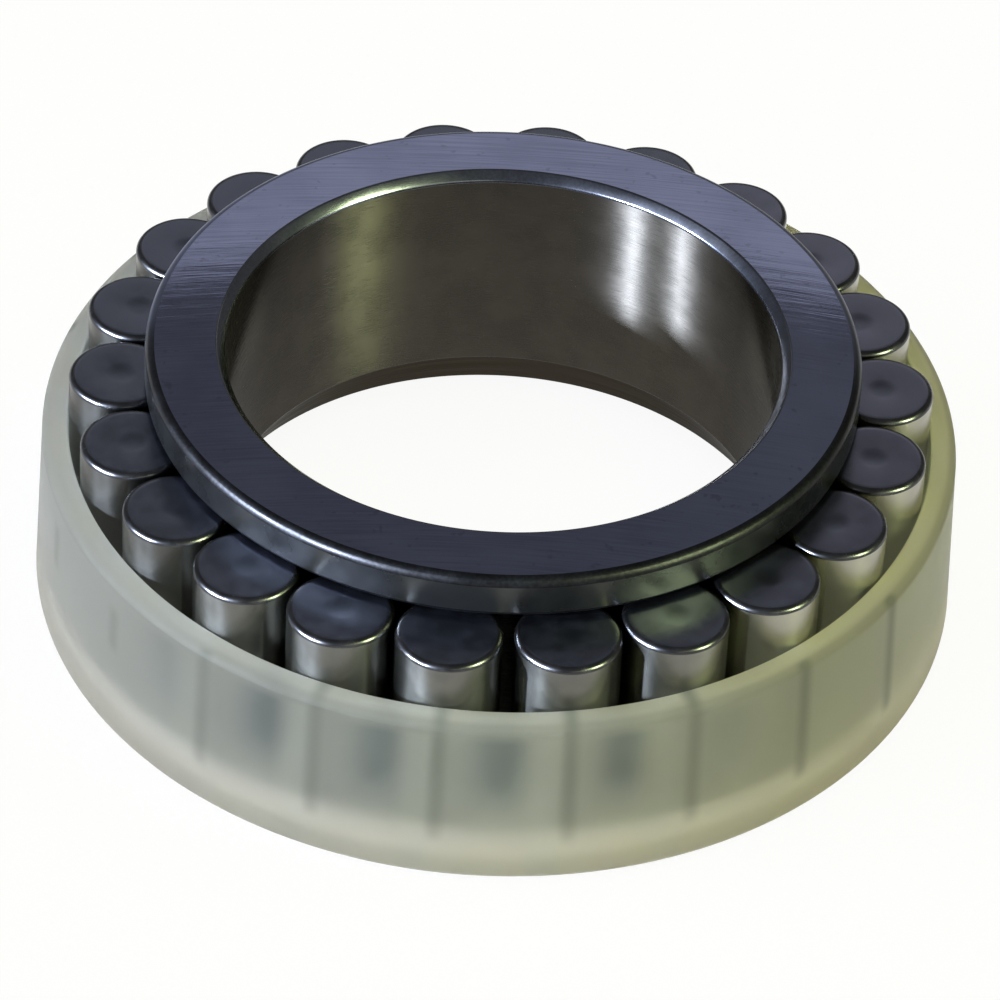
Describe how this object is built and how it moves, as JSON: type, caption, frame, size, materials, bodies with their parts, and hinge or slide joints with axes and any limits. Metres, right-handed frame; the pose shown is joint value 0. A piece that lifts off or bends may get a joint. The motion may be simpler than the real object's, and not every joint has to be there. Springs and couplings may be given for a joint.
{
  "type": "differential pinion bearing",
  "caption": "Single-row cylindrical roller bearing with a ribbed inner ring, no outer ring and no cage; an open plastic sleeve holds the rollers until it is fitted.",
  "frame": {"origin": "on the bearing's axis, in the plane it stands on, at the lead-in end of the bore", "axes": "+Z along the axis towards the face with the small bore chamfer; +X to the right of the picture and -Y towards its camera, square to the axis"},
  "size_m": [0.0674, 0.0674, 0.021],
  "materials": {
    "ring_steel": "hardened bearing steel, ground faces with fine straight grinding lines, honed bore",
    "roller_steel": "hardened bearing steel, superfinished sides, matt ends",
    "sleeve_plastic": "natural undyed polypropylene, milky and translucent"
  },
  "bodies": {
    "sleeve": {"retaining_sleeve": "sleeve_plastic"},
    "ring": {"inner_ring": "ring_steel"},
    "roller_01": {"roller_01": "roller_steel"},
    "roller_02": {"roller_02": "roller_steel"},
    "roller_03": {"roller_03": "roller_steel"},
    "roller_04": {"roller_04": "roller_steel"},
    "roller_05": {"roller_05": "roller_steel"},
    "roller_06": {"roller_06": "roller_steel"},
    "roller_07": {"roller_07": "roller_steel"},
    "roller_08": {"roller_08": "roller_steel"},
    "roller_09": {"roller_09": "roller_steel"},
    "roller_10": {"roller_10": "roller_steel"},
    "roller_11": {"roller_11": "roller_steel"},
    "roller_12": {"roller_12": "roller_steel"},
    "roller_13": {"roller_13": "roller_steel"},
    "roller_14": {"roller_14": "roller_steel"},
    "roller_15": {"roller_15": "roller_steel"},
    "roller_16": {"roller_16": "roller_steel"},
    "roller_17": {"roller_17": "roller_steel"},
    "roller_18": {"roller_18": "roller_steel"},
    "roller_19": {"roller_19": "roller_steel"},
    "roller_20": {"roller_20": "roller_steel"},
    "roller_21": {"roller_21": "roller_steel"},
    "roller_22": {"roller_22": "roller_steel"}
  },
  "joints": [
    {"name": "ring_turn", "type": "hinge", "parent": "sleeve", "child": "ring", "pos_m": [0, 0, 0.0105], "axis": [0, 0, 1], "continuous": true},
    {"name": "roller_01_spin", "type": "hinge", "parent": "sleeve", "child": "roller_01", "pos_m": [0.00552, -0.02691, 0.0105], "axis": [0, 0, 1], "continuous": true},
    {"name": "roller_02_spin", "type": "hinge", "parent": "sleeve", "child": "roller_02", "pos_m": [0.01286, -0.02427, 0.0105], "axis": [0, 0, 1], "continuous": true},
    {"name": "roller_03_spin", "type": "hinge", "parent": "sleeve", "child": "roller_03", "pos_m": [0.01917, -0.01968, 0.0105], "axis": [0, 0, 1], "continuous": true},
    {"name": "roller_04_spin", "type": "hinge", "parent": "sleeve", "child": "roller_04", "pos_m": [0.02393, -0.0135, 0.0105], "axis": [0, 0, 1], "continuous": true},
    {"name": "roller_05_spin", "type": "hinge", "parent": "sleeve", "child": "roller_05", "pos_m": [0.02675, -0.00623, 0.0105], "axis": [0, 0, 1], "continuous": true},
    {"name": "roller_06_spin", "type": "hinge", "parent": "sleeve", "child": "roller_06", "pos_m": [0.02743, 0.00154, 0.0105], "axis": [0, 0, 1], "continuous": true},
    {"name": "roller_07_spin", "type": "hinge", "parent": "sleeve", "child": "roller_07", "pos_m": [0.02589, 0.00919, 0.0105], "axis": [0, 0, 1], "continuous": true},
    {"name": "roller_08_spin", "type": "hinge", "parent": "sleeve", "child": "roller_08", "pos_m": [0.02226, 0.01609, 0.0105], "axis": [0, 0, 1], "continuous": true},
    {"name": "roller_09_spin", "type": "hinge", "parent": "sleeve", "child": "roller_09", "pos_m": [0.01684, 0.0217, 0.0105], "axis": [0, 0, 1], "continuous": true},
    {"name": "roller_10_spin", "type": "hinge", "parent": "sleeve", "child": "roller_10", "pos_m": [0.01006, 0.02556, 0.0105], "axis": [0, 0, 1], "continuous": true},
    {"name": "roller_11_spin", "type": "hinge", "parent": "sleeve", "child": "roller_11", "pos_m": [0.00247, 0.02736, 0.0105], "axis": [0, 0, 1], "continuous": true},
    {"name": "roller_12_spin", "type": "hinge", "parent": "sleeve", "child": "roller_12", "pos_m": [-0.00532, 0.02695, 0.0105], "axis": [0, 0, 1], "continuous": true},
    {"name": "roller_13_spin", "type": "hinge", "parent": "sleeve", "child": "roller_13", "pos_m": [-0.01268, 0.02437, 0.0105], "axis": [0, 0, 1], "continuous": true},
    {"name": "roller_14_spin", "type": "hinge", "parent": "sleeve", "child": "roller_14", "pos_m": [-0.01902, 0.01982, 0.0105], "axis": [0, 0, 1], "continuous": true},
    {"name": "roller_15_spin", "type": "hinge", "parent": "sleeve", "child": "roller_15", "pos_m": [-0.02382, 0.01368, 0.0105], "axis": [0, 0, 1], "continuous": true},
    {"name": "roller_16_spin", "type": "hinge", "parent": "sleeve", "child": "roller_16", "pos_m": [-0.02671, 0.00643, 0.0105], "axis": [0, 0, 1], "continuous": true},
    {"name": "roller_17_spin", "type": "hinge", "parent": "sleeve", "child": "roller_17", "pos_m": [-0.02744, -0.00133, 0.0105], "axis": [0, 0, 1], "continuous": true},
    {"name": "roller_18_spin", "type": "hinge", "parent": "sleeve", "child": "roller_18", "pos_m": [-0.02596, -0.00899, 0.0105], "axis": [0, 0, 1], "continuous": true},
    {"name": "roller_19_spin", "type": "hinge", "parent": "sleeve", "child": "roller_19", "pos_m": [-0.02238, -0.01592, 0.0105], "axis": [0, 0, 1], "continuous": true},
    {"name": "roller_20_spin", "type": "hinge", "parent": "sleeve", "child": "roller_20", "pos_m": [-0.017, -0.02157, 0.0105], "axis": [0, 0, 1], "continuous": true},
    {"name": "roller_21_spin", "type": "hinge", "parent": "sleeve", "child": "roller_21", "pos_m": [-0.01026, -0.02548, 0.0105], "axis": [0, 0, 1], "continuous": true},
    {"name": "roller_22_spin", "type": "hinge", "parent": "sleeve", "child": "roller_22", "pos_m": [-0.00268, -0.02734, 0.0105], "axis": [0, 0, 1], "continuous": true}
  ],
  "couplings": [
    {"joint": "roller_01_spin", "follows": "ring_turn", "ratio": -6.32},
    {"joint": "roller_02_spin", "follows": "ring_turn", "ratio": -6.32},
    {"joint": "roller_03_spin", "follows": "ring_turn", "ratio": -6.32},
    {"joint": "roller_04_spin", "follows": "ring_turn", "ratio": -6.32},
    {"joint": "roller_05_spin", "follows": "ring_turn", "ratio": -6.32},
    {"joint": "roller_06_spin", "follows": "ring_turn", "ratio": -6.32},
    {"joint": "roller_07_spin", "follows": "ring_turn", "ratio": -6.32},
    {"joint": "roller_08_spin", "follows": "ring_turn", "ratio": -6.32},
    {"joint": "roller_09_spin", "follows": "ring_turn", "ratio": -6.32},
    {"joint": "roller_10_spin", "follows": "ring_turn", "ratio": -6.32},
    {"joint": "roller_11_spin", "follows": "ring_turn", "ratio": -6.32},
    {"joint": "roller_12_spin", "follows": "ring_turn", "ratio": -6.32},
    {"joint": "roller_13_spin", "follows": "ring_turn", "ratio": -6.32},
    {"joint": "roller_14_spin", "follows": "ring_turn", "ratio": -6.32},
    {"joint": "roller_15_spin", "follows": "ring_turn", "ratio": -6.32},
    {"joint": "roller_16_spin", "follows": "ring_turn", "ratio": -6.32},
    {"joint": "roller_17_spin", "follows": "ring_turn", "ratio": -6.32},
    {"joint": "roller_18_spin", "follows": "ring_turn", "ratio": -6.32},
    {"joint": "roller_19_spin", "follows": "ring_turn", "ratio": -6.32},
    {"joint": "roller_20_spin", "follows": "ring_turn", "ratio": -6.32},
    {"joint": "roller_21_spin", "follows": "ring_turn", "ratio": -6.32},
    {"joint": "roller_22_spin", "follows": "ring_turn", "ratio": -6.32}
  ]
}
